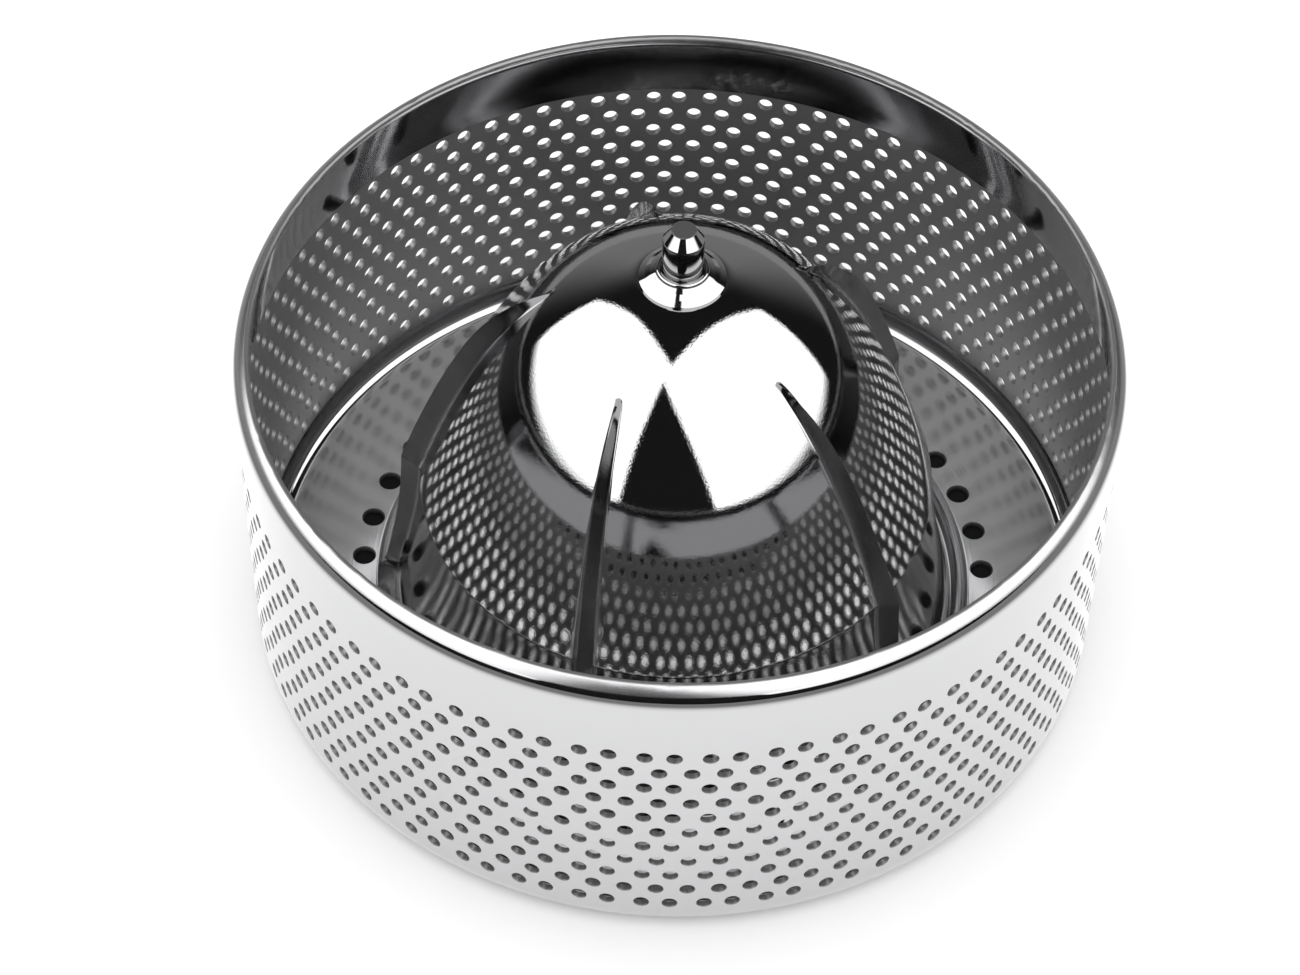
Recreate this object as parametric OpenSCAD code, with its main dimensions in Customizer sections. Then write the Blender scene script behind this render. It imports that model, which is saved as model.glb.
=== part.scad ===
// Juicer cone for a small electric citrus press: a perforated strainer drum with a ribbed reamer
// cone standing in it, a pivot pin on its crown and a drive hub inside.
// Millimetres. Z = 0 is the underside of the drum, the axis of rotation is Z, and the front is -Y.

/* [Drum] */
// Outer diameter of the drum
drum_d = 130; // [110:1:150]
// Height of the drum, underside to rim
drum_h = 56.5; // [50:0.5:65]
// Thickness of the drum's sheet
sheet = 1; // [0.8:0.1:1.4]
// Outer radius of the corner between wall and floor
corner_r = 4; // [3:0.5:6]
// Radius of the rim's inward shoulder
shoulder_r = 4; // [3:0.5:6]
// How far round the shoulder turns before the trimmed edge
shoulder_turn = 60; // [40:5:75]

/* [Wall holes] */
// Diameter of a strainer hole
hole_d = 2.1; // [1.5:0.1:2.4]
// Rows of holes, one above the other
hole_rows = 5; // [2:1:11]
// Pairs of holes in a row
hole_pairs = 12; // [5:1:45]
// Distance between two rows
row_pitch = 8.94; // [3.5:0.02:9]
// Height of the lowest row above the underside
first_row = 6.44; // [5.9:0.02:6.6]
// Angle of the first pair of holes from the front
pair_angle = -1.5; // [-8:0.1:8]
// Share of the pair's pitch between the two holes of a pair, in every second row
pair_gap = 0.45; // [0.4:0.01:0.5]

/* [Floor] */
// Number of drain holes in the floor
drain_holes = 39; // [20:1:41]
// Diameter of a drain hole
drain_d = 3.4; // [2.5:0.1:4]
// Angle of the first drain hole from the front
drain_angle = 0.1; // [-5:0.1:5]
// Radius of the ring of drain holes
drain_ring_r = 48.6; // [48.4:0.1:54]
// Diameter of the turned seat for the cone
seat_d = 92.4; // [90:0.2:93]
// Depth of the turned seat
seat_depth = 0.3; // [0.2:0.05:0.5]

/* [Cone] */
// Diameter of the cone's foot
foot_d = 86.7; // [84:0.1:88]
// Diameter at the crease between dome and foot
crease_d = 77.6; // [74:0.2:80]
// Height of the crease above the seat
crease_h = 24.95; // [20:0.05:30]
// Rise of the dome from the crease to its crown
dome_rise = 43.45; // [35:0.05:50]
// Fullness of the dome, as the power of its outline
dome_power = 2.57; // [2:0.01:3]
// Hollowness of the foot's flare, as the power of its outline
flare_power = 1.5; // [1.2:0.1:2]
// Wall thickness of the casting
cone_wall = 1.6; // [1.2:0.1:2.5]
// Diameter of the flat seat on the crown
crown_seat_d = 13.4; // [13:0.1:16]
// Thickness of the crown round the pin
crown_t = 2.2; // [1.8:0.1:3]

/* [Ribs] */
// Number of ribs
rib_count = 5; // [3:1:8]
// Angle of the first rib from the front, positive towards +X
rib_angle = -26.5; // [-60:0.5:60]
// Diameter at which a rib rises out of the dome
rib_tip_d = 38.4; // [30:0.2:50]
// Height of a rib at the crease
rib_h = 2.8; // [1.5:0.1:3.5]
// Height of a rib at the foot
rib_foot_h = 2; // [1:0.1:2.6]
// Width of a rib at the foot
rib_w = 3.9; // [2.5:0.1:6]

/* [Pin] */
// Diameter of the pivot pin
pin_d = 6; // [5:0.1:7]
// Height of the pin above the crown's seat
pin_h = 9.7; // [8:0.1:12]
// Diameter of the pin's flat top
pin_top_d = 3.5; // [3:0.1:4.5]
// Height of the pin's chamfer
pin_chamfer = 1.85; // [1:0.05:2.5]
// Diameter of the collar at the pin's root
collar_d = 7.7; // [7.4:0.1:8.5]
// Height of the collar above the crown's seat
collar_h = 2.3; // [2:0.1:3]
// Height of the collar's straight side above the flange's hollow
collar_side = 0.7; // [0.4:0.1:1]
// Diameter of the flange that clamps the crown
flange_d = 12.6; // [11:0.1:12.8]
// Thickness of the flange's edge
flange_edge = 0.35; // [0.2:0.05:0.6]
// Diameter of the shank inside the hub
shank_d = 5; // [4:0.1:5.5]
// Length of the shank below the crown's seat
shank_len = 14; // [8:1:20]

/* [Hub] */
// Diameter of the hub's column
hub_d = 18; // [16:0.5:22]
// Diameter of the hub's foot on the drum's floor
hub_foot_d = 34; // [28:1:44]
// Thickness of the hub's foot
hub_foot_t = 3; // [2:0.5:5]
// Diameter of the spigot in the drum's floor
spigot_d = 22; // [20:0.5:26]
// Diameter of the bore for the drive spindle
spindle_d = 8; // [6:0.5:9]
// Depth of the bore for the drive spindle
spindle_depth = 30; // [20:1:40]
// Width of the driving slot across the spigot
slot_w = 3.2; // [2.5:0.1:4]
// Depth of the driving slot
slot_depth = 2.6; // [2:0.1:5]
// Length of the driving slot
slot_len = 18; // [12:0.5:19]
// Clearance all round between pieces that fit in one another
fit = 0.05; // [0.02:0.01:0.1]

/* [Hidden] */
$fn = 96;
drum_r = drum_d / 2;
shoulder_z = drum_h - shoulder_r * sin(shoulder_turn);
inner_r = drum_r - sheet;
floor_z = sheet;
seat_z = floor_z - seat_depth;
crease_r = crease_d / 2;
foot_r = foot_d / 2;
crease_z = seat_z + crease_h;
dome_steps = 20;
foot_steps = 8;
rib_steps = 14;
foot_edge = 0.5;
crown_seat_r = crown_seat_d / 2;
crown_z = dome_z(crown_seat_r);
crown_under = crown_z - crown_t;
pad_margin = 2;
pad_r = hub_d / 2 + pad_margin;
rib_tip_r = rib_tip_d / 2;
rib_root = 0.3;
rib_embed = 0.6;
rib_layers = [[0.4, 1], [0.7, 0.6], [1, 0.3]];
arc_steps = 8;
flange_steps = 6;
shank_chamfer = 0.6;
collar_chamfer = 0.25;
shank_end_gap = 2;
overlap = 0.5;

// Points on an arc about (cx, cz), from angle a0 to a1
function arc(cx, cz, r, a0, a1) = [for (i = [0:arc_steps])
    let (a = a0 + (a1 - a0) * i / arc_steps) [cx + r * cos(a), cz + r * sin(a)]];

// Outline of the dome: height and outward normal at radius r
function dome_z(r) = crease_z + dome_rise * (1 - pow(r / crease_r, dome_power));
function dome_slope(r) = dome_rise * dome_power / crease_r * pow(r / crease_r, dome_power - 1);
function dome_normal(r) = let (s = dome_slope(r)) [s, 1] / norm([s, 1]);

// Outline of the flared foot: radius and outward normal at share t from the crease down
function foot_point(t) = [crease_r + (foot_r - crease_r) * pow(t, flare_power),
                          crease_z + (seat_z - crease_z) * t];
function foot_normal(t) =
    let (s = flare_power * (foot_r - crease_r) * pow(t, flare_power - 1) / (crease_z - seat_z))
    [1, s] / norm([1, s]);

dome_radii = [for (i = [0:dome_steps]) crown_seat_r + (crease_r - crown_seat_r) * i / dome_steps];
foot_shares = [for (i = [1:foot_steps]) i / foot_steps];
dome_inner_radii = [for (i = [0:dome_steps]) pad_r + (crease_r - pad_r) * i / dome_steps];

// Half section of the drum: floor with its turned seat, corner, wall and inward shoulder
module drum_section() {
    outer_corner = arc(drum_r - corner_r, corner_r, corner_r, -90, 0);
    outer_shoulder = arc(drum_r - shoulder_r, shoulder_z, shoulder_r, 0, shoulder_turn);
    inner_shoulder = arc(drum_r - shoulder_r, shoulder_z, shoulder_r - sheet, shoulder_turn, 0);
    inner_corner = arc(drum_r - corner_r, corner_r, corner_r - sheet, 0, -90);
    polygon(concat(
        [[spigot_d / 2 + fit, 0]], outer_corner, outer_shoulder, inner_shoulder, inner_corner,
        [[seat_d / 2, floor_z], [seat_d / 2, seat_z], [spigot_d / 2 + fit, seat_z]]
    ));
}

// One hole through the wall, drilled along a radius
module wall_hole(angle, z) {
    rotate([0, 0, angle - 90])
        translate([inner_r - overlap, 0, z])
            rotate([0, 90, 0]) cylinder(d = hole_d, h = sheet + 2 * overlap, $fn = 16);
}

// Rows of round holes: pairs in one row, evenly spaced holes between them in the next
module wall_holes() {
    pitch = 360 / hole_pairs;
    for (row = [0:hole_rows - 1]) {
        share = row % 2 == 0 ? pair_gap : 0.5;
        shift = row % 2 == 0 ? 0 : pitch / 4;
        for (pair = [0:hole_pairs - 1]) for (side = [-1, 1])
            wall_hole(pair_angle + pitch * (pair + side * share / 2) + shift,
                      first_row + row * row_pitch);
    }
}

// Ring of drain holes in the floor
module drain_hole_ring() {
    for (i = [0:drain_holes - 1])
        rotate([0, 0, drain_angle - 90 + 360 * i / drain_holes])
            translate([drain_ring_r, 0, -overlap])
                cylinder(d = drain_d, h = sheet + 2 * overlap, $fn = 24);
}

// Deep-drawn cup with perforated wall, drilled floor and a rim turned inwards
module strainer_drum() {
    color("silver") difference() {
        rotate_extrude() drum_section();
        wall_holes();
        drain_hole_ring();
    }
}

// Half section of the hollow cone: dome, flared foot, and a flat pad under the crown
module cone_section() {
    outer = concat(
        [for (r = dome_radii) [r, dome_z(r)]],
        [for (t = foot_shares) if (t < 1) foot_point(t)],
        [[foot_r, seat_z + foot_edge], [foot_r - foot_edge, seat_z]]
    );
    inside_foot = [for (i = [foot_steps - 1:-1:0])
        let (t = foot_shares[i]) foot_point(t) - cone_wall * foot_normal(t)];
    inside_dome = [for (i = [dome_steps:-1:0])
        let (r = dome_inner_radii[i]) [r, dome_z(r)] - cone_wall * dome_normal(r)];
    polygon(concat(
        [[shank_d / 2 + 2 * fit, crown_z]], outer, [[inside_foot[0][0], seat_z]], inside_foot,
        [for (p = inside_dome) if (p[1] < crown_under) p],
        [[pad_r - cone_wall, crown_under], [shank_d / 2 + 2 * fit, crown_under]]
    ));
}

// Height of a rib above the skin: at share t from tip to crease, and from crease to foot
function rib_rise(t) = (rib_h + rib_root) * sin(90 * t) - rib_root;
function rib_fall(t) = rib_h + (rib_foot_h - rib_h) * t;

// Points along a rib at a share of its height: down the dome, then down the foot
function rib_line(share) = concat(
    [for (i = [0:rib_steps])
        let (t = i / rib_steps, r = rib_tip_r + (crease_r - rib_tip_r) * t)
        [r, dome_z(r)] + (share == 0 ? -rib_embed : share * rib_rise(t)) * dome_normal(r)],
    [for (t = foot_shares) foot_point(t) + [share == 0 ? -rib_embed : share * rib_fall(t), 0]]
);

// One layer of a rib: its outline swept through the small angle that gives its width at the foot
module rib_layer(height_share, width) {
    sweep = 2 * asin(width / 2 / foot_r);
    root = rib_line(0);
    rotate([0, 0, -sweep / 2]) rotate_extrude(angle = sweep)
        polygon(concat(rib_line(height_share), [for (i = [len(root) - 1:-1:0]) root[i]]));
}

// One rib: layers of a share of the height and a share of the width, from root to crest
module rib() {
    for (layer = rib_layers) rib_layer(layer[0], layer[1] * rib_w);
}

// Polished hollow casting with sharp ribs, open below
module reamer_cone() {
    color("gainsboro") union() {
        rotate_extrude() cone_section();
        for (i = [0:rib_count - 1])
            rotate([0, 0, rib_angle - 90 + 360 * i / rib_count]) rib();
    }
}

// Turned pivot pin: clamping flange, collar, journal with a chamfered end, and shank
module top_pin() {
    shank_end = crown_z - shank_len;
    collar_top = crown_z + collar_h;
    pin_top = crown_z + pin_h;
    flange_rise = collar_h - collar_side - flange_edge;
    flange = [for (i = [0:flange_steps]) let (t = i / flange_steps)
        [flange_d / 2 + (collar_d - flange_d) / 2 * t, crown_z + flange_edge + flange_rise * t * t]];
    color("lightgray") rotate_extrude() polygon(concat(
        [[0, shank_end], [shank_d / 2 - shank_chamfer, shank_end],
         [shank_d / 2, shank_end + shank_chamfer], [shank_d / 2, crown_z],
         [flange_d / 2, crown_z]],
        flange,
        [[collar_d / 2, collar_top - collar_chamfer], [collar_d / 2 - collar_chamfer, collar_top],
         [pin_d / 2, collar_top], [pin_d / 2, pin_top - pin_chamfer],
         [pin_top_d / 2, pin_top], [0, pin_top]]
    ));
}

// Turned drive hub: column under the crown, foot on the floor, spigot through it
module drive_hub() {
    color("darkgray") difference() {
        union() {
            translate([0, 0, seat_z]) cylinder(d = hub_foot_d, h = hub_foot_t);
            translate([0, 0, seat_z]) cylinder(d = hub_d, h = crown_under - seat_z);
            cylinder(d = spigot_d, h = seat_z + overlap);
        }
        translate([0, 0, -overlap]) cylinder(d = spindle_d, h = spindle_depth + overlap);
        translate([0, 0, crown_z - shank_len - shank_end_gap])
            cylinder(d = shank_d + 2 * fit, h = shank_len + shank_end_gap);
        translate([-slot_len / 2, -slot_w / 2, -overlap])
            cube([slot_len, slot_w, slot_depth + overlap]);
    }
}

strainer_drum();
reamer_cone();
top_pin();
drive_hub();
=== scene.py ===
from math import atan2, cos, degrees, floor, hypot, pi, radians, sin

import bmesh
import bpy
from mathutils import Matrix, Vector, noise


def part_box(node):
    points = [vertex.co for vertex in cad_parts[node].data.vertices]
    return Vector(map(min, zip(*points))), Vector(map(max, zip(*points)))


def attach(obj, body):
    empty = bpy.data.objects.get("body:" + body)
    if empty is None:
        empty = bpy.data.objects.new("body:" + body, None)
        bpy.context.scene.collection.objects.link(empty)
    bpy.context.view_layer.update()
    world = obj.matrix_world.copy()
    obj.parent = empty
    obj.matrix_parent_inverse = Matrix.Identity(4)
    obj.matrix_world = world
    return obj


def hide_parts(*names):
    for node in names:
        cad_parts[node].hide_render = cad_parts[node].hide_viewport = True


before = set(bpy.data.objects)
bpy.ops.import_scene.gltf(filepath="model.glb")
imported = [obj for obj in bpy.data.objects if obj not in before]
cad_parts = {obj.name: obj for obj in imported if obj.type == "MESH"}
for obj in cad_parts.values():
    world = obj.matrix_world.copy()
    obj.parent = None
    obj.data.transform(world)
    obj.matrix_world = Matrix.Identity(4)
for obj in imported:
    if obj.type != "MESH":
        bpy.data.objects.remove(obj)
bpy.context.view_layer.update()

MM = 0.001


# Strainer drum: one cup deep-drawn from 1 mm stainless sheet, its wall punched with 990 holes in
# eleven rows, its floor drilled with a ring of drain holes, its rim rolled inwards and trimmed.
# The punch draws each hole's edge in a little, and the trimmed edge keeps its nicks.

def hex_colour(text):
    """sRGB hex value as linear RGBA."""
    channels = [int(text[i:i + 2], 16) / 255 for i in (1, 3, 5)]
    return [c / 12.92 if c <= 0.04045 else ((c + 0.055) / 1.055) ** 2.4 for c in channels] + [1]


def node(tree, kind, inputs=None, **settings):
    """Adds a shader node; an input is a value or the socket of another node that feeds it."""
    made = tree.nodes.new(kind)
    for name, value in settings.items():
        setattr(made, name, value)
    for key, value in (inputs or {}).items():
        if isinstance(value, bpy.types.NodeSocket):
            tree.links.new(value, made.inputs[key])
        else:
            made.inputs[key].default_value = value
    return made


def bare_steel(name, colour, roughness):
    """Stainless steel with no marks on it yet: the material, its tree and its shader."""
    material = bpy.data.materials.new(name)
    material.use_nodes = True
    shader = material.node_tree.nodes["Principled BSDF"]
    shader.inputs["Base Color"].default_value = hex_colour(colour)
    shader.inputs["Metallic"].default_value = 1.0
    shader.inputs["Roughness"].default_value = roughness
    return material, material.node_tree, shader


def arc(centre_r, centre_z, radius, start, end, count):
    """Points of a profile on an arc, from one angle to another."""
    turns = [radians(start + (end - start) * i / count) for i in range(count + 1)]
    return [(centre_r + radius * cos(t), centre_z + radius * sin(t)) for t in turns]


def add_copies(bm, part, number=1):
    """Adds a part to a piece, once or as a full ring of copies round the axis."""
    if number > 1:
        bmesh.ops.spin(part, geom=part.verts[:] + part.edges[:] + part.faces[:], axis=(0, 0, 1),
                       cent=(0, 0, 0), angle=2 * pi * (number - 1) / number, steps=number - 1,
                       use_duplicate=True)
    carrier = bpy.data.meshes.new("carrier")
    part.to_mesh(carrier)
    part.free()
    bm.from_mesh(carrier)
    bpy.data.meshes.remove(carrier)


def add_turned(bm, profile, steps, start=0.0):
    """Turns a profile of (radius, height) in mm round the axis, from an angle off the front."""
    part = bmesh.new()
    turn = radians(start)
    verts = [part.verts.new((r * sin(turn) * MM, -r * cos(turn) * MM, z * MM)) for r, z in profile]
    edges = [part.edges.new(pair) for pair in zip(verts, verts[1:])]
    bmesh.ops.spin(part, geom=verts + edges, axis=(0, 0, 1), cent=(0, 0, 0), angle=2 * pi,
                   steps=steps, use_merge=True)
    add_copies(bm, part)


def loop_through(bm, points):
    """A closed loop of vertices through the points, and its edges."""
    verts = bmesh.ops.create_circle(bm, segments=len(points), radius=MM)["verts"]
    for vert, point in zip(verts, points):
        vert.co = point
    return list({edge for vert in verts for edge in vert.link_edges})


def punched_cell(bm, half, segments, offset, rings, sheet, place):
    """One hole and the sheet round it, as loops bridged from the outer face to the inner face.
    half and offset are in mm on the sheet; rings are (radius, depth); place bends a point."""
    across, up = segments
    count = 2 * (across + up)
    corners = [(1, -1), (1, 1), (-1, 1), (-1, -1), (1, -1)]
    border = []
    for (x0, y0), (x1, y1), share in zip(corners, corners[1:], (up, across, up, across)):
        border += [((x0 + (x1 - x0) * i / share) * half[0], (y0 + (y1 - y0) * i / share) * half[1])
                   for i in range(share)]
    turns = [2 * pi * (i - up / 2) / count for i in range(count)]
    loops = [loop_through(bm, [place(x, y, 0) for x, y in border])]
    for radius, depth in rings:
        loops.append(loop_through(bm, [place(offset + radius * cos(t), radius * sin(t), depth)
                                       for t in turns]))
    loops.append(loop_through(bm, [place(x, y, sheet) for x, y in border]))
    for edge in loops[1] + loops[-2]:
        edge.smooth = False
    for number, (above, below) in enumerate(zip(loops, loops[1:])):
        faces = bmesh.ops.bridge_loops(bm, edges=above + below)["faces"]
        if 0 < number < len(rings):
            for face in faces:
                face.material_index = HOLE_WALL


def finish_piece(name, bm, materials, node_name):
    """Makes the piece of a bmesh, smooth and facing outwards, in place of its CAD node."""
    bmesh.ops.remove_doubles(bm, verts=bm.verts, dist=0.002 * MM)
    bmesh.ops.recalc_face_normals(bm, faces=bm.faces)
    for face in bm.faces:
        face.smooth = True
    mesh = bpy.data.meshes.new(name)
    bm.to_mesh(mesh)
    bm.free()
    piece = bpy.data.objects.new(name, mesh)
    bpy.context.collection.objects.link(piece)
    for material in materials:
        mesh.materials.append(material)
    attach(piece, "root")
    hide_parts(node_name)
    return piece


HOLE_WALL = 2
DRUM_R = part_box("strainer_drum")[1][0] / MM
DRUM_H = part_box("strainer_drum")[1][2] / MM
SHEET = 1.0
INNER_R = DRUM_R - SHEET
CORNER_R = 4.0
SHOULDER_R = 4.0
SHOULDER_TURN = 58
SHOULDER_Z = DRUM_H - SHOULDER_R * sin(radians(60))
HOLE_ROWS = 11
HOLE_PAIRS = 45
PAIR_PITCH = 360 / HOLE_PAIRS
PAIR_GAP = 0.45
PAIR_ANGLE = -1.5
ROW_PITCH = 3.575
FIRST_ROW = 6.44
HOLE_R = 1.05
HOLE_DRAW = 0.1
HOLE_BREAK = 0.15
SEGMENTS_AROUND = 360
BAND_LOW = FIRST_ROW - ROW_PITCH / 2
BAND_HIGH = FIRST_ROW + (HOLE_ROWS - 0.5) * ROW_PITCH
DRAIN_HOLES = 39
DRAIN_SEGMENTS = 9
DRAIN_ANGLE = 0.1
DRAIN_R = 1.7
DRAIN_RING_R = 48.6
DRAIN_BAND = 2.3
SEAT_R = 46.2
SEAT_Z = SHEET - 0.3
SPIGOT_HOLE_R = 11.05
FLAT_FLOOR_R = DRUM_R - CORNER_R


def on_wall(angle, height):
    """Bends a point of the flat sheet round the wall at an angle and a height."""
    def place(x, y, depth):
        turn = radians(angle) + x / DRUM_R
        r = (DRUM_R - depth) * MM
        return r * sin(turn), -r * cos(turn), (height + y) * MM
    return place


def on_floor(angle):
    """Bends a point of the flat sheet round the ring of drain holes at an angle."""
    def place(x, y, depth):
        turn = radians(angle) + x / DRAIN_RING_R
        r = (DRAIN_RING_R + y) * MM
        return r * sin(turn), -r * cos(turn), (SHEET - depth) * MM
    return place


bm = bmesh.new()
column = bmesh.new()
hole_rings = [(HOLE_R + HOLE_DRAW, 0), (HOLE_R, 0.3), (HOLE_R + HOLE_BREAK, SHEET)]
half_cell = (radians(PAIR_PITCH / 4) * DRUM_R, ROW_PITCH / 2)
for row in range(HOLE_ROWS):
    paired = row % 2 == 0
    for side in (-1, 1):
        cell_angle = PAIR_ANGLE + side * PAIR_PITCH / 4 + (0 if paired else PAIR_PITCH / 4)
        aside = side * radians(PAIR_PITCH * (PAIR_GAP - 0.5) / 2) * DRUM_R if paired else 0
        punched_cell(column, half_cell, (4, 4), aside, hole_rings, SHEET,
                     on_wall(cell_angle, FIRST_ROW + row * ROW_PITCH))
add_copies(bm, column, HOLE_PAIRS)

corner_r = DRUM_R - SHOULDER_R
rim_outer = arc(corner_r, SHOULDER_Z, SHOULDER_R, 0, SHOULDER_TURN, 9)
edge_r, edge_z = arc(corner_r, SHOULDER_Z, SHOULDER_R - SHEET / 2, SHOULDER_TURN, 90, 1)[0]
rim_edge = arc(edge_r, edge_z, SHEET / 2, SHOULDER_TURN, SHOULDER_TURN + 180, 12)[1:-1]
rim_inner = arc(corner_r, SHOULDER_Z, SHOULDER_R - SHEET, SHOULDER_TURN, 0, 7)
add_turned(bm, [(DRUM_R, BAND_HIGH), (DRUM_R, BAND_HIGH + 3)] + rim_outer + rim_edge + rim_inner
           + [(INNER_R, BAND_HIGH + 3), (INNER_R, BAND_HIGH)], SEGMENTS_AROUND, PAIR_ANGLE)
add_turned(bm, [(DRUM_R, BAND_LOW)] + arc(FLAT_FLOOR_R, CORNER_R, CORNER_R, 0, -80, 8),
           SEGMENTS_AROUND, PAIR_ANGLE)
add_turned(bm, [(INNER_R, BAND_LOW)] + arc(FLAT_FLOOR_R, CORNER_R, CORNER_R - SHEET, 0, -80, 8),
           SEGMENTS_AROUND, PAIR_ANGLE)

drain_rings = [(DRAIN_R + 0.15, 0), (DRAIN_R, 0.15), (DRAIN_R, SHEET)]
drain_half = (pi / DRAIN_HOLES * DRAIN_RING_R, DRAIN_BAND)
drain = bmesh.new()
punched_cell(drain, drain_half, (DRAIN_SEGMENTS, 3), 0, drain_rings, SHEET, on_floor(DRAIN_ANGLE))
add_copies(bm, drain, DRAIN_HOLES)
band_in, band_out = DRAIN_RING_R - DRAIN_BAND, DRAIN_RING_R + DRAIN_BAND
seat = [(band_in, SHEET), (SEAT_R, SHEET), (SEAT_R - 0.08, SEAT_Z), (43.0, SEAT_Z),
        (SPIGOT_HOLE_R, SEAT_Z), (SPIGOT_HOLE_R, 0), (band_in, 0)]
for profile in (seat, [(band_out, SHEET), (FLAT_FLOOR_R, SHEET)], [(band_out, 0), (FLAT_FLOOR_R, 0)]):
    add_turned(bm, profile, DRAIN_HOLES * DRAIN_SEGMENTS, DRAIN_ANGLE - 180 / DRAIN_HOLES)
bmesh.ops.remove_doubles(bm, verts=bm.verts, dist=0.002 * MM)
for above in (False, True):
    open_edges = [edge for edge in bm.edges if edge.is_boundary
                  and (edge.verts[0].co.z > SHEET / 2 * MM) == above]
    bmesh.ops.bridge_loops(bm, edges=open_edges)

def on_rim_edge(point):
    return hypot(hypot(point.x, point.y) / MM - edge_r, point.z / MM - edge_z) < 0.52 * SHEET


# The trimmed edge has the look of a sheared wall, with small nicks left by the trimming knife.
for face in bm.faces:
    if on_rim_edge(face.calc_center_median()):
        face.material_index = HOLE_WALL
for vert in bm.verts:
    if on_rim_edge(vert.co):
        nick = noise.noise(vert.co * 700) + 0.6 * noise.noise(vert.co * 2300) - 0.25
        vert.co *= 1 - max(0, nick) * 0.004

# Polished stainless sheet: nearly a mirror, with drawing haze. Round the rim a belt has ground the
# sheet to a satin band. The walls of the holes keep the rough, torn surface of the punch; their
# darker grey is painted shade, standing in for the shade inside the holes.
drum_polish, tree, shader = bare_steel("polished_stainless_sheet", "#B0B0B1", 0.06)
place = node(tree, "ShaderNodeTexCoord")
split = node(tree, "ShaderNodeSeparateXYZ", {"Vector": place.outputs["Object"]})
haze = node(tree, "ShaderNodeTexNoise", {"Vector": place.outputs["Object"], "Scale": 90.0,
                                         "Detail": 4.0})
dulling = node(tree, "ShaderNodeMapRange", {"Value": haze.outputs["Fac"], "From Min": 0.35,
                                            "From Max": 0.75, "To Min": 0.03, "To Max": 0.1})
satin = node(tree, "ShaderNodeMapRange", {"Value": split.outputs["Z"],
                                          "From Min": (DRUM_H - 1.35) * MM,
                                          "From Max": (DRUM_H - 1.15) * MM, "To Max": 0.26})
roughness = node(tree, "ShaderNodeMath", {0: dulling.outputs["Result"],
                                          1: satin.outputs["Result"]}, operation="MAXIMUM")
tree.links.new(roughness.outputs[0], shader.inputs["Roughness"])
ripple = node(tree, "ShaderNodeTexNoise", {"Vector": place.outputs["Object"], "Scale": 160.0,
                                           "Detail": 2.0})
relief = node(tree, "ShaderNodeBump", {"Height": ripple.outputs["Fac"], "Strength": 0.05,
                                       "Distance": 0.0002})
tree.links.new(relief.outputs["Normal"], shader.inputs["Normal"])

# Painted shade: the darker grey stands in for the shade inside the holes; the roughness is the
# sheared surface.
hole_shear_and_shade, _, _ = bare_steel("sheared_hole_wall_painted_shade", "#8E8E8E", 0.5)

floor_finish, tree, shader = bare_steel("drawn_stainless_floor", "#BEBEBF", 0.12)
place = node(tree, "ShaderNodeTexCoord")
split = node(tree, "ShaderNodeSeparateXYZ", {"Vector": place.outputs["Object"]})
square_x = node(tree, "ShaderNodeMath", {0: split.outputs["X"], 1: split.outputs["X"]},
                operation="MULTIPLY")
square_y = node(tree, "ShaderNodeMath", {0: split.outputs["Y"], 1: split.outputs["Y"]},
                operation="MULTIPLY")
sum_xy = node(tree, "ShaderNodeMath", {0: square_x.outputs[0], 1: square_y.outputs[0]},
              operation="ADD")
radius = node(tree, "ShaderNodeMath", {0: sum_xy.outputs[0]}, operation="SQRT")
ring_line = node(tree, "ShaderNodeCombineXYZ", {"X": radius.outputs[0]})
# Turned rings about 0.35 mm apart, drawn coarser than the tool's feed so that they show.
rings = node(tree, "ShaderNodeTexNoise", {"Vector": ring_line.outputs[0], "Scale": 2800.0,
                                          "Detail": 1.0})
at_seat = node(tree, "ShaderNodeMapRange", {"Value": radius.outputs[0], "From Min": 0.0468,
                                            "From Max": 0.0460, "To Min": 0.06, "To Max": 0.8})
relief = node(tree, "ShaderNodeBump", {"Height": rings.outputs["Fac"],
                                       "Strength": at_seat.outputs["Result"],
                                       "Distance": 0.0001})
tree.links.new(relief.outputs["Normal"], shader.inputs["Normal"])

drum = finish_piece("drum_shell", bm, [drum_polish, floor_finish, hole_shear_and_shade], "strainer_drum")
for face in drum.data.polygons:
    middle = face.center
    on_the_floor = middle.z < 1.3 * MM and hypot(middle.x, middle.y) < (FLAT_FLOOR_R + 0.6) * MM
    if on_the_floor and face.material_index != HOLE_WALL:
        face.material_index = 1


# Reamer cone: one hollow stainless casting, mirror-polished, with five sharp ribs that the
# polisher couldn't reach between, so the skin beside them keeps its ground scratches. It stands
# in the turned seat of the drum's floor.
CONE_TOP = 68.62
CREASE_R = 38.8
CREASE_Z = SEAT_Z + 24.95
FOOT_R = 43.35
DOME_RISE = 43.45
DOME_POWER = 2.57
DOME_SHOULDER = 0.6
CROWN_SEAT_R = 6.7
CONE_WALL = 1.6
SHANK_HOLE_R = 2.6
HUB_PAD_R = 11.0
CROWN_T = 2.2
RIBS = 5
RIB_ANGLE = -26.5
RIB_TIP_R = 19.2
RIB_H = 3.1
RIB_FOOT_H = 2.0
RIB_W = 3.9
RIB_LEAN = 7.0
CONE_COLUMNS = 540


def dome_z(r):
    """Height of the dome, a power curve that the polisher has flattened above its shoulder."""
    turn = 2 * pi * (r - CROWN_SEAT_R) / (CREASE_R - CROWN_SEAT_R)
    return (CREASE_Z + DOME_RISE * (1 - (r / CREASE_R) ** DOME_POWER)
            - DOME_SHOULDER * sin(turn))


def dome_normal(r):
    slope = (dome_z(r - 0.01) - dome_z(r + 0.01)) / 0.02
    return slope / hypot(slope, 1), 1 / hypot(slope, 1)


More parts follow.
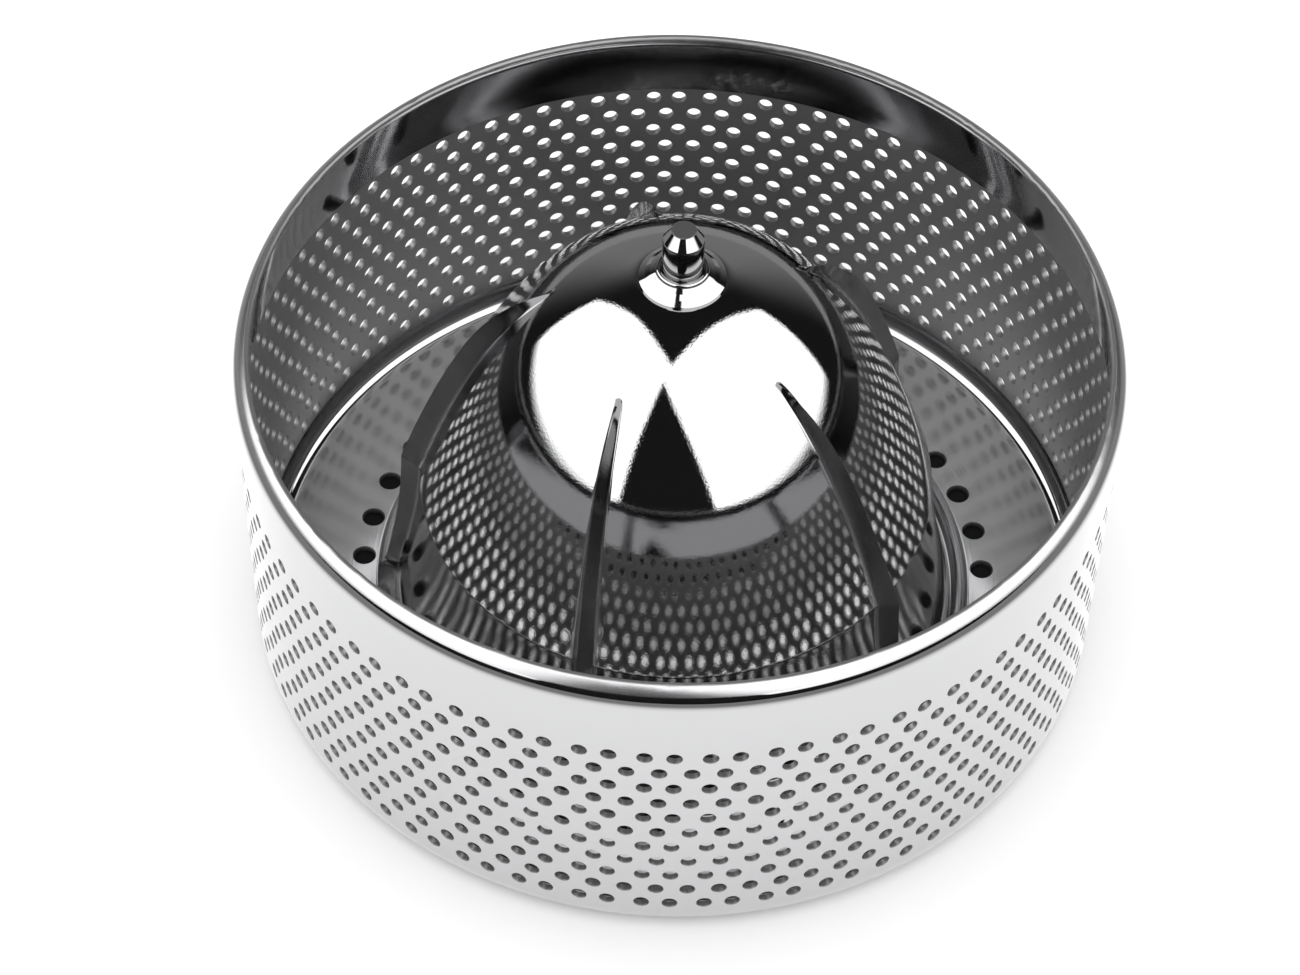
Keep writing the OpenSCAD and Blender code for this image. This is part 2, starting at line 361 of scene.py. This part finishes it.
def foot_point(share):
    return CREASE_R + (FOOT_R - CREASE_R) * share ** 1.5, CREASE_Z + (SEAT_Z - CREASE_Z) * share


def inset(point, normal, depth):
    return point[0] - normal[0] * depth, point[1] - normal[1] * depth


def rib_height(r, z):
    """Height and width of a rib at a point of the skin, and the direction it rises in."""
    share = (r - RIB_TIP_R) / (CREASE_R - RIB_TIP_R)
    if z > CREASE_Z and share <= 0:
        return 0, 1, (0, 1)
    if z > CREASE_Z:
        rise = sin(pi / 2 * min(1, share / 0.5))
        return RIB_H * rise, RIB_W * (0.3 + 0.6 * share), dome_normal(r)
    share = (CREASE_Z - z) / (CREASE_Z - SEAT_Z)
    upwards = dome_normal(CREASE_R)[1] * max(0, 1 - 2 * share) ** 2
    return (RIB_H + (RIB_FOOT_H - RIB_H) * share, RIB_W * (0.9 + 0.1 * share),
            (hypot(1, upwards) ** -1, upwards))


def rib_lean(r):
    """How far a rib has turned round the axis, in degrees, on its way down from its tip."""
    share = max(0, (r - RIB_TIP_R) / (CREASE_R - RIB_TIP_R))
    return RIB_LEAN * min(1, share ** 0.7)


def crowd_towards_ribs(turn):
    """Moves an angle, in degrees from the first rib, so that the columns crowd at the ribs."""
    sector = 360 / RIBS
    number = floor(turn / sector + 0.5)
    u = 2 * (turn / sector - number)
    return number * sector + sector / 2 * (0.3 * u + 0.7 * u * abs(u))


bm = bmesh.new()
dome_steps = 56
dome_radii = [CREASE_R - (CREASE_R - CROWN_SEAT_R) * (1 - i / dome_steps) ** 1.6
              for i in range(dome_steps)]
foot_shares = [0, 0.02] + [i / 14 for i in range(1, 15)]
skin = ([(SHANK_HOLE_R, CONE_TOP), (CROWN_SEAT_R - 0.3, CONE_TOP)]
        + [(r, dome_z(r)) for r in dome_radii] + [foot_point(share) for share in foot_shares[:-1]]
        + [(FOOT_R, SEAT_Z + 0.5), (FOOT_R - 0.5, SEAT_Z)])
add_turned(bm, skin, CONE_COLUMNS, RIB_ANGLE)
bmesh.ops.remove_doubles(bm, verts=bm.verts, dist=0.002 * MM)
ground = bm.verts.layers.float.new("ground")
crest = set()
for vert in bm.verts:
    r, z = hypot(vert.co.x, vert.co.y) / MM, vert.co.z / MM
    turn = crowd_towards_ribs(degrees(atan2(vert.co.x, -vert.co.y)) - RIB_ANGLE)
    height, width, rise = rib_height(r, z)
    beside = turn - 360 / RIBS * floor(turn * RIBS / 360 + 0.5)
    away = abs(radians(beside)) * r / (width / 2)
    lift = height * max(0, 1 - away) ** 1.25
    vert[ground] = max(0, 1 - away / 2.6) if height > 0 else 0
    if height > 0 and abs(beside) < 0.01:
        crest.add(vert)
    angle = radians(turn + RIB_ANGLE + rib_lean(r))
    r += lift * rise[0]
    vert.co = (r * sin(angle) * MM, -r * cos(angle) * MM, (z + lift * rise[1]) * MM)
for edge in bm.edges:
    if crest.issuperset(edge.verts):
        edge.smooth = False
inside = ([inset(foot_point(s), (1, 0), CONE_WALL) for s in (1.0, 0.75, 0.5, 0.25)]
          + [inset((r, dome_z(r)), dome_normal(r), CONE_WALL) for r in (37, 33, 28, 22, 16, 13)])
add_turned(bm, inside + [(HUB_PAD_R - 1.6, CONE_TOP - CROWN_T),
                         (SHANK_HOLE_R, CONE_TOP - CROWN_T)], CONE_COLUMNS, RIB_ANGLE)
bmesh.ops.remove_doubles(bm, verts=bm.verts, dist=0.002 * MM)
for nearest, furthest in ((0, SHANK_HOLE_R + 1), (FOOT_R - 5, FOOT_R + 5)):
    open_edges = [edge for edge in bm.edges if edge.is_boundary
                  and nearest < hypot(edge.verts[0].co.x, edge.verts[0].co.y) / MM < furthest]
    bmesh.ops.bridge_loops(bm, edges=open_edges)
# Mirror-polished casting: fine pits speckle the mirror, and the polish is duller low down. Beside
# the ribs, where the attribute "ground" rises, a belt left scratches that run down the cone, and
# the flanks of the ribs, which no wheel reaches, stay dark.
cone_polish, tree, shader = bare_steel("mirror_polished_casting", "#AEAEAF", 0.03)
place = node(tree, "ShaderNodeTexCoord")
split = node(tree, "ShaderNodeSeparateXYZ", {"Vector": place.outputs["Object"]})
beside_rib = node(tree, "ShaderNodeAttribute", attribute_name="ground")
patch = node(tree, "ShaderNodeTexNoise", {"Vector": place.outputs["Object"], "Scale": 110.0,
                                          "Detail": 2.0})
uneven = node(tree, "ShaderNodeMath", {0: beside_rib.outputs["Fac"], 1: patch.outputs["Fac"]},
              operation="MULTIPLY")
low_down = node(tree, "ShaderNodeMapRange", {"Value": split.outputs["Z"], "From Min": 0.060,
                                             "From Max": 0.045})
worked = node(tree, "ShaderNodeMapRange", {"Value": uneven.outputs[0], "From Min": 0.2,
                                           "From Max": 0.5})
worked = node(tree, "ShaderNodeMath", {0: worked.outputs["Result"],
                                       1: low_down.outputs["Result"]}, operation="MULTIPLY")
duller = node(tree, "ShaderNodeMapRange", {"Value": split.outputs["Z"], "From Min": 0.060,
                                           "From Max": 0.020, "To Min": 0.03, "To Max": 0.07})
on_rib = node(tree, "ShaderNodeMapRange", {"Value": beside_rib.outputs["Fac"], "From Min": 0.6,
                                           "From Max": 0.7, "To Max": 0.08})
duller = node(tree, "ShaderNodeMath", {0: duller.outputs["Result"],
                                       1: on_rib.outputs["Result"]}, operation="ADD")
darker = node(tree, "ShaderNodeMapRange", {"Value": beside_rib.outputs["Fac"], "From Min": 0.6,
                                           "From Max": 0.7})
tint = node(tree, "ShaderNodeMix", {0: darker.outputs["Result"], 6: hex_colour("#AEAEAF"),
                                    7: hex_colour("#6C6C6D")}, data_type="RGBA")
tree.links.new(tint.outputs[2], shader.inputs["Base Color"])
rough = node(tree, "ShaderNodeMath", {0: worked.outputs[0], 1: 0.1, 2: duller.outputs[0]},
             operation="MULTIPLY_ADD")
tree.links.new(rough.outputs[0], shader.inputs["Roughness"])
pits = node(tree, "ShaderNodeTexNoise", {"Vector": place.outputs["Object"], "Scale": 3200.0,
                                         "Detail": 2.0})
speckle = node(tree, "ShaderNodeBump", {"Height": pits.outputs["Fac"], "Strength": 1.0,
                                        "Distance": 0.000006})
grit = node(tree, "ShaderNodeMapping", {"Vector": place.outputs["Object"],
                                        "Scale": (1.0, 1.0, 0.16)})
scratches = node(tree, "ShaderNodeTexNoise", {"Vector": grit.outputs["Vector"], "Scale": 2600.0,
                                              "Detail": 3.0})
depth = node(tree, "ShaderNodeMath", {0: scratches.outputs["Fac"], 1: worked.outputs[0]},
             operation="MULTIPLY")
relief = node(tree, "ShaderNodeBump", {"Height": depth.outputs[0], "Strength": 1.0,
                                       "Distance": 0.00003,
                                       "Normal": speckle.outputs["Normal"]})
tree.links.new(relief.outputs["Normal"], shader.inputs["Normal"])
finish_piece("cone_casting", bm, [cone_polish], "reamer_cone")


# Pivot pin: turned from bar and polished, with a clamping flange, a collar, and a journal with a
# chamfered end. Its end face is left dull from parting off.
PIN_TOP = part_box("top_pin")[1][2] / MM
SHANK_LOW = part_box("top_pin")[0][2] / MM
PIN_R = 3.0
PIN_TOP_R = 1.75
PIN_CHAMFER = 1.85
COLLAR_R = 3.9
COLLAR_Z = CONE_TOP + 2.3
FLANGE_R = 6.3
SHANK_R = 2.5
flange = [(FLANGE_R, CONE_TOP + 0.35), (5.4, CONE_TOP + 0.85), (4.7, CONE_TOP + 1.42),
          (4.0, CONE_TOP + 1.8), (3.9, CONE_TOP + 1.74)]
chamfer_z = PIN_TOP - PIN_CHAMFER
bm = bmesh.new()
add_turned(bm, [(0, SHANK_LOW), (SHANK_R, SHANK_LOW), (SHANK_R, CONE_TOP), (FLANGE_R, CONE_TOP)]
           + flange + arc(COLLAR_R - 0.4, COLLAR_Z - 0.4, 0.4, -15, 165, 20)
           + [(PIN_R, COLLAR_Z - 0.35), (PIN_R, chamfer_z - 0.07), (PIN_R - 0.06, chamfer_z + 0.07),
              (PIN_TOP_R + 0.06, PIN_TOP - 0.05), (PIN_TOP_R - 0.06, PIN_TOP), (0, PIN_TOP)], 96)
bmesh.ops.remove_doubles(bm, verts=bm.verts, dist=0.002 * MM)
for edge in bm.edges:
    if len(edge.link_faces) == 2 and edge.calc_face_angle(0) > radians(9.5):
        edge.smooth = False

pin_polish, tree, shader = bare_steel("turned_stainless_pin", "#B0B0B0", 0.05)
place = node(tree, "ShaderNodeTexCoord")
split = node(tree, "ShaderNodeSeparateXYZ", {"Vector": place.outputs["Object"]})
end_face = node(tree, "ShaderNodeMapRange", {"Value": split.outputs["Z"],
                                             "From Min": (PIN_TOP - 0.06) * MM,
                                             "From Max": (PIN_TOP - 0.02) * MM})
rough = node(tree, "ShaderNodeMapRange", {"Value": end_face.outputs["Result"], "To Min": 0.05,
                                          "To Max": 0.55})
tree.links.new(rough.outputs["Result"], shader.inputs["Roughness"])
tint = node(tree, "ShaderNodeMix", {0: end_face.outputs["Result"], 6: hex_colour("#B0B0B0"),
                                    7: hex_colour("#6E6E6E")}, data_type="RGBA")
tree.links.new(tint.outputs[2], shader.inputs["Base Color"])
finish_piece("pivot_pin", bm, [pin_polish], "top_pin")


# Drive hub: turned from bar and left plain, hidden inside the cone. Only its spigot, with the
# spindle bore and the driving slot, shows from below.
hub_finish, tree, shader = bare_steel("plain_turned_steel", "#B9B9BA", 0.28)
place = node(tree, "ShaderNodeTexCoord")
lathe = node(tree, "ShaderNodeTexNoise", {"Vector": place.outputs["Object"], "Scale": 700.0,
                                          "Detail": 2.0})
relief = node(tree, "ShaderNodeBump", {"Height": lathe.outputs["Fac"], "Strength": 0.15,
                                       "Distance": 0.0001})
tree.links.new(relief.outputs["Normal"], shader.inputs["Normal"])
for slot in bpy.data.objects["drive_hub"].material_slots:
    slot.material = hub_finish


# Studio: a white table whose front edge ends before the camera, and a room that polished steel
# mirrors: two soft boxes that meet overhead, a dark wedge between them where the camera stands, a
# dark strip over the table's edge and a dim wall behind. Other rays see an even white room.
TABLE_SIDE = 1.6
TABLE_FRONT = -0.34
bm = bmesh.new()
bmesh.ops.create_grid(bm, x_segments=8, y_segments=8, size=TABLE_SIDE)
bmesh.ops.translate(bm, verts=bm.verts, vec=(0, TABLE_SIDE + TABLE_FRONT, -0.0002))
mesh = bpy.data.meshes.new("table_top")
bm.to_mesh(mesh)
bm.free()
table = bpy.data.objects.new("table_top", mesh)
bpy.context.collection.objects.link(table)
paper = bpy.data.materials.new("white_table_paper")
paper.use_nodes = True
tree = paper.node_tree
paper_shader = tree.nodes["Principled BSDF"]
paper_shader.inputs["Roughness"].default_value = 0.9
paper_shader.inputs["Specular IOR Level"].default_value = 0.1
# Painted light: in reflections the paper's colour darkens away from the drum, and under the drum
# a painted shadow keeps it nearly black.
place = node(tree, "ShaderNodeTexCoord")
flat = node(tree, "ShaderNodeVectorMath", {0: place.outputs["Object"], 1: (1, 1, 0)},
            operation="MULTIPLY")
off_axis = node(tree, "ShaderNodeVectorMath", {0: flat.outputs[0]}, operation="LENGTH")
# Painted light: seen by glossy rays, the paper's colour falls from 0.9 near the drum to 0.18 further
# out.
painted_fall_off = node(tree, "ShaderNodeMapRange", {"Value": off_axis.outputs["Value"],
                                             "From Min": 0.1, "From Max": 0.19, "To Min": 0.9,
                                             "To Max": 0.18}, interpolation_type="SMOOTHSTEP")
path = node(tree, "ShaderNodeLightPath")
mirrored = node(tree, "ShaderNodeMix", {0: path.outputs["Is Glossy Ray"], 2: 0.66,
                                        3: painted_fall_off.outputs["Result"]}, data_type="FLOAT")
# Painted shadow: under the drum the paper's colour drops nearly to black.
painted_shadow_mask = node(tree, "ShaderNodeMapRange", {"Value": off_axis.outputs["Value"],
                                              "From Min": 0.0575, "From Max": 0.0590,
                                              "To Min": 0.015, "To Max": 0.93})
paper_level_with_painted_light = node(tree, "ShaderNodeMath", {0: mirrored.outputs[0], 1: painted_shadow_mask.outputs["Result"]},
             operation="MULTIPLY")
grey = node(tree, "ShaderNodeCombineColor", {key: paper_level_with_painted_light.outputs[0] for key in (0, 1, 2)})
tree.links.new(grey.outputs[0], paper_shader.inputs["Base Color"])
mesh.materials.append(paper)

world = bpy.data.worlds.new("studio_room")
bpy.context.scene.world = world
world.use_nodes = True
tree = world.node_tree
for old in list(tree.nodes):
    tree.nodes.remove(old)
direction = node(tree, "ShaderNodeTexCoord").outputs["Generated"]
upwards = node(tree, "ShaderNodeSeparateXYZ", {"Vector": direction}).outputs["Z"]


def combine(kind, first, second):
    """Joins two values of the room's shader into one."""
    return node(tree, "ShaderNodeMath", {0: first, 1: second}, operation=kind).outputs[0]


def beyond(normal, softness=0.012):
    """1 on the side of a plane through the cone that its normal points to, 0 on the other."""
    side = node(tree, "ShaderNodeVectorMath", {0: direction, 1: normal}, operation="DOT_PRODUCT")
    return node(tree, "ShaderNodeMapRange", {"Value": side.outputs["Value"],
                                             "From Min": -softness, "From Max": softness},
                interpolation_type="SMOOTHSTEP").outputs["Result"]


def soft_box(*normals):
    """The part of the room on the inner side of every edge of a soft box."""
    inside = node(tree, "ShaderNodeMapRange", {"Value": upwards, "From Min": 0.1,
                                               "From Max": 0.17}).outputs["Result"]
    for normal in normals:
        inside = combine("MULTIPLY", inside, beyond(normal))
    return inside


left_box = soft_box((-1, -0.765, -0.366), (-1, -0.917, -0.331), (-1, 0.561, 0.104),
                    (-0.463, -1, 0.444))
right_box = soft_box((0.918, -1, -0.27), (1, 0.426, 0.403), (0.223, -1, 0.509))
boxes = combine("MAXIMUM", left_box, right_box)
rear_wall = combine("MULTIPLY", beyond((-0.8, 0.6, 0), 0.3), beyond((0.8, 0.6, 0), 0.3))
rear_wall = combine("MULTIPLY", rear_wall, beyond((0, 0.5, -0.6), 0.2))
room = combine("ADD", combine("MULTIPLY", boxes, 2.6), combine("MULTIPLY", rear_wall, 0.3))
room = combine("ADD", room, 0.015)
path = node(tree, "ShaderNodeLightPath")
strength = node(tree, "ShaderNodeMix", {0: path.outputs["Is Glossy Ray"], 2: 2.2, 3: room},
                data_type="FLOAT")
background = node(tree, "ShaderNodeBackground", {"Color": (1, 1, 1, 1),
                                                 "Strength": strength.outputs[0]})
node(tree, "ShaderNodeOutputWorld", {"Surface": background.outputs[0]})

# Camera: on the photograph's line, 50 degrees down on the rim, with its slight roll.
LOOK_DOWN = 50.36
ROLL = 1.39
PLACE = (-3.9, -340.4, 432.5)
camera = bpy.data.objects.new("studio_camera", bpy.data.cameras.new("studio_camera"))
bpy.context.collection.objects.link(camera)
camera.data.lens = 96.88
camera.data.sensor_width = 36.0
camera.data.clip_start = 0.01
camera.matrix_world = (Matrix.Translation([value * MM for value in PLACE])
                       @ Matrix.Rotation(radians(90 - LOOK_DOWN), 4, "X")
                       @ Matrix.Rotation(radians(ROLL), 4, "Z"))
bpy.context.scene.camera = camera
bpy.context.scene.view_settings.view_transform = "Standard"
